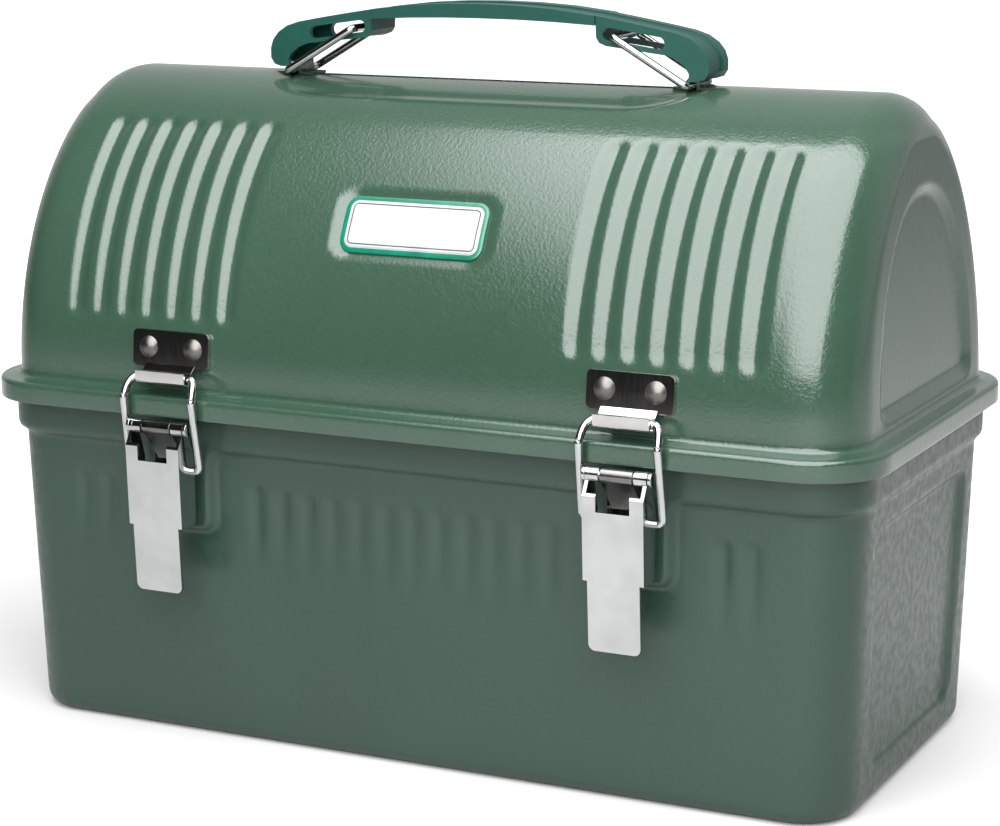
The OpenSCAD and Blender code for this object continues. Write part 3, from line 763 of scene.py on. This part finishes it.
v, f, ix = build_plate()
add_mesh("name_plate_blank", v, f, [PLATE_GREEN, PLATE_WHITE, PLATE_LINE], "lid", ("name_plate",), ix, sharp=40)

# ------------------------------------------------------------------ wires
LATCH_X, WIRE_R = 87.9, 1.4
HALF = [(8.7, -85, 101), (12, -85, 101), (13.3, -85.02, 101.35), (14.1, -85.15, 102.3), (14.35, -85.35, 103.6), (14.15, -87, 113.9), (13.95, -88.8, 125.2),
        (13.88, -88.6, 127), (13.65, -87.7, 129.2), (13.25, -86.6, 131), (12.55, -85.5, 132.4), (11.6, -84.75, 133.2), (10.5, -84.4, 133.5)]
for side, s in (("left", -1), ("right", 1)):
    path = [(s * LATCH_X - x, y, z) for x, y, z in HALF] + [(s * LATCH_X - 5, -84.4, 133.5), (s * LATCH_X + 5, -84.4, 133.5)] + [(s * LATCH_X + x, y, z) for x, y, z in HALF[::-1]]
    v, f = tube(spline(path, 4), WIRE_R, n=20, dome=0.3)
    add_mesh("loop_wire_" + side, v, f, [CHROME], "loop_" + side, ("latch_loop_" + side,))
    x, b = s * 78.5, s * 51.0
    v, f = tube(fillet([(x, -11, 235), (b, -11, 251), (b, 11, 251), (x, 11, 235)], 2.0, True, 7), WIRE_R, True, 20)
    add_mesh("bail_wire_" + side, v, f, [WIRE], body_of("handle_bail_" + side), ("handle_bail_" + side,))
rx, ry, rz, fy = 60.0, 72.6, 134.0, -71.0
v, f = tube(fillet([(-rx + 7, ry, rz), (-rx, ry, rz), (-rx, fy + 6, rz), (-rx + 6, fy, rz), (rx - 6, fy, rz), (rx, fy + 6, rz), (rx, ry, rz), (rx - 7, ry, rz)], 5.0), 1.6, n=16, dome=0.3)
add_mesh("retainer_wire", v, f, [WIRE], body_of("bottle_retainer"), ("bottle_retainer",))

# ------------------------------------------------------------------ hardware


def lower_strap(x, y, z):
    """The strike's plate reaches a little further down and its hook leaves from the bottom edge."""
    out = abs(x) - LATCH_X
    if y > -79.97 and z < 139.2:
        return x, y - 0.085, z - 1.0
    if abs(out) < 10.2 and 139.2 <= z < 139.8:
        return x, y - 0.18, z - 2.2
    if abs(y + 81.2) < 0.15 and abs(z - 136.2) < 0.15:
        return x, y - 0.25, z - 0.4
    return x, y, z


for side in ("left", "right"):
    soften("latch_lever_" + side, CHROME, 0.28, 30, 3)
    soften("lever_pin_" + side, CHROME, 0.2)
    soften("latch_base_" + side, KNUCKLE, 0.2)
    soften("strike_" + side, STRIKE, 0.36, 30, 4, shape=lower_strap)
    soften("hinge_lower_" + side, ZINC, 0.2)
    soften("hinge_upper_" + side, ZINC, 0.2)
    soften("hinge_pin_" + side, ZINC, 0.2)
    soften("handle_bracket_" + side, BRACKET, 0.3)
    soften("retainer_bracket_" + side, ZINC, 0.2)
soften("retainer_catch", ZINC, 0.15)
soften("strike_rivets", RIVET, 0.12, 50)
soften("latch_base_rivets", RIVET, 0.12, 50)
soften("hinge_lower_rivets", RIVET, 0.12, 50)
soften("hinge_upper_rivets", RIVET, 0.12, 50)
soften("handle_bracket_rivets", BRACKET, 0.1, 50)
soften("handle_grip", GRIP, 1.1, 30, 4)

# ------------------------------------------------------------------ floor, light, camera


def plane(name, corners, mat):
    me = bpy.data.meshes.new(name)
    me.from_pydata(corners, [], [(0, 1, 2, 3)])
    me.materials.append(mat)
    o = bpy.data.objects.new(name, me)
    bpy.context.scene.collection.objects.link(o)
    return o


floor_mat = Mat("floor")
floor_mat.link(floor_mat.mix(floor_mat.range(floor_mat.noise(3.0, 2, 0.5), 0.3, 0.7, 0, 1), (0.49, 0.49, 0.49), (0.50, 0.50, 0.50)), floor_mat.b.inputs["Base Color"])
floor_mat.set(Roughness=0.9)
away = floor_mat.node("ShaderNodeSeparateXYZ")
floor_mat.link(floor_mat.co, away.inputs[0])
seen_by = floor_mat.node("ShaderNodeLightPath").outputs["Is Camera Ray"]
near = floor_mat.math("MULTIPLY", floor_mat.range(away.outputs[1], 0.0, 0.18, 0.0, 0.31), floor_mat.range(away.outputs[1], 0.42, 0.85, 1.0, 0.35))
reach = floor_mat.node("ShaderNodeVectorMath", operation="LENGTH")
floor_mat.link(floor_mat.co, reach.inputs[0])
far = floor_mat.math("MULTIPLY", floor_mat.range(reach.outputs["Value"], 0.3, 0.8, 0.12, 1.0), seen_by)
floor_mat.link(floor_mat.math("ADD", near, far), floor_mat.b.inputs["Emission Strength"])
floor_mat.b.inputs["Emission Color"].default_value = (1, 1, 1, 1)
plane("floor", [(-3.2, -2.3, 0), (3.2, -2.3, 0), (3.2, 4.0, 0), (-3.2, 4.0, 0)], floor_mat.m)

box_mat = bpy.data.materials.new("softbox")
box_mat.use_nodes = True
nt = box_mat.node_tree
nt.nodes.clear()
out = nt.nodes.new("ShaderNodeOutputMaterial")
em = nt.nodes.new("ShaderNodeEmission")
co = nt.nodes.new("ShaderNodeTexCoord")
sep = nt.nodes.new("ShaderNodeSeparateXYZ")
mr = nt.nodes.new("ShaderNodeMapRange")
mr.interpolation_type = "SMOOTHSTEP"
for k, x in (("From Min", 0.0), ("From Max", 0.24), ("To Min", 0.0), ("To Max", 4.0)):
    mr.inputs[k].default_value = x
slant = nt.nodes.new("ShaderNodeMath")
slant.operation = "MULTIPLY_ADD"
slant.inputs[1].default_value, slant.inputs[2].default_value = 0.27, 0.72
edge = nt.nodes.new("ShaderNodeMath")
nt.links.new(co.outputs["Object"], sep.inputs[0])
nt.links.new(sep.outputs[1], slant.inputs[0])
nt.links.new(sep.outputs[0], edge.inputs[0])
nt.links.new(slant.outputs[0], edge.inputs[1])
nt.links.new(edge.outputs[0], mr.inputs[0])
mr2 = nt.nodes.new("ShaderNodeMapRange")
mr2.interpolation_type = "SMOOTHSTEP"
for k, x in (("From Min", 0.08), ("From Max", 0.36), ("To Min", 0.0), ("To Max", 2.75)):
    mr2.inputs[k].default_value = x
nt.links.new(edge.outputs[0], mr2.inputs[0])
both = nt.nodes.new("ShaderNodeMath")
nt.links.new(mr.outputs[0], both.inputs[0])
nt.links.new(mr2.outputs[0], both.inputs[1])
nt.links.new(both.outputs[0], em.inputs["Strength"])
nt.links.new(em.outputs[0], out.inputs[0])
panel = plane("softbox", [(-0.74, 0.14, 1.5), (0.95, 0.14, 1.5), (0.95, -1.5, 0.31), (-0.56, -1.5, 0.31)], box_mat)
panel.visible_camera = False

world = bpy.data.worlds.new("studio")
bpy.context.scene.world = world
world.use_nodes = True
wt = world.node_tree
wt.nodes.clear()
wo = wt.nodes.new("ShaderNodeOutputWorld")
seen = wt.nodes.new("ShaderNodeBackground")
room = wt.nodes.new("ShaderNodeBackground")
mixw = wt.nodes.new("ShaderNodeMixShader")
lp = wt.nodes.new("ShaderNodeLightPath")
seen.inputs[0].default_value = (1, 1, 1, 1)
seen.inputs[1].default_value = 1.0
wc = wt.nodes.new("ShaderNodeTexCoord")
ws = wt.nodes.new("ShaderNodeSeparateXYZ")
wm = wt.nodes.new("ShaderNodeMapRange")
wm.interpolation_type = "SMOOTHSTEP"
for k, x in (("From Min", -0.1), ("From Max", 0.6), ("To Min", 0.02), ("To Max", 0.58)):
    wm.inputs[k].default_value = x
wt.links.new(wc.outputs["Generated"], ws.inputs[0])
wt.links.new(ws.outputs[1], wm.inputs[0])
wt.links.new(wm.outputs[0], room.inputs[1])
room.inputs[0].default_value = (1, 1, 1, 1)
wt.links.new(lp.outputs["Is Camera Ray"], mixw.inputs[0])
wt.links.new(room.outputs[0], mixw.inputs[1])
wt.links.new(seen.outputs[0], mixw.inputs[2])
wt.links.new(mixw.outputs[0], wo.inputs[0])

bpy.context.scene.view_settings.view_transform = "Standard"
bpy.context.scene.view_settings.look = "None"

pos, target, roll = Vector((0.43608, -0.88363, 0.32545)), Vector((0.00202, 0.0, 0.11235)), rad(-0.32)
fwd = (target - pos).normalized()
right = fwd.cross(Vector((0, 0, 1))).normalized()
up = right.cross(fwd)
r2 = right * math.cos(roll) + up * math.sin(roll)
u2 = -right * math.sin(roll) + up * math.cos(roll)
cam = bpy.data.cameras.new("camera")
cam.lens, cam.sensor_width, cam.clip_end = 99.36, 36.0, 50.0
cam_o = bpy.data.objects.new("camera", cam)
bpy.context.scene.collection.objects.link(cam_o)
from mathutils import Matrix
cam_o.matrix_world = Matrix(((r2.x, u2.x, -fwd.x, pos.x), (r2.y, u2.y, -fwd.y, pos.y), (r2.z, u2.z, -fwd.z, pos.z), (0, 0, 0, 1)))
bpy.context.scene.camera = cam_o
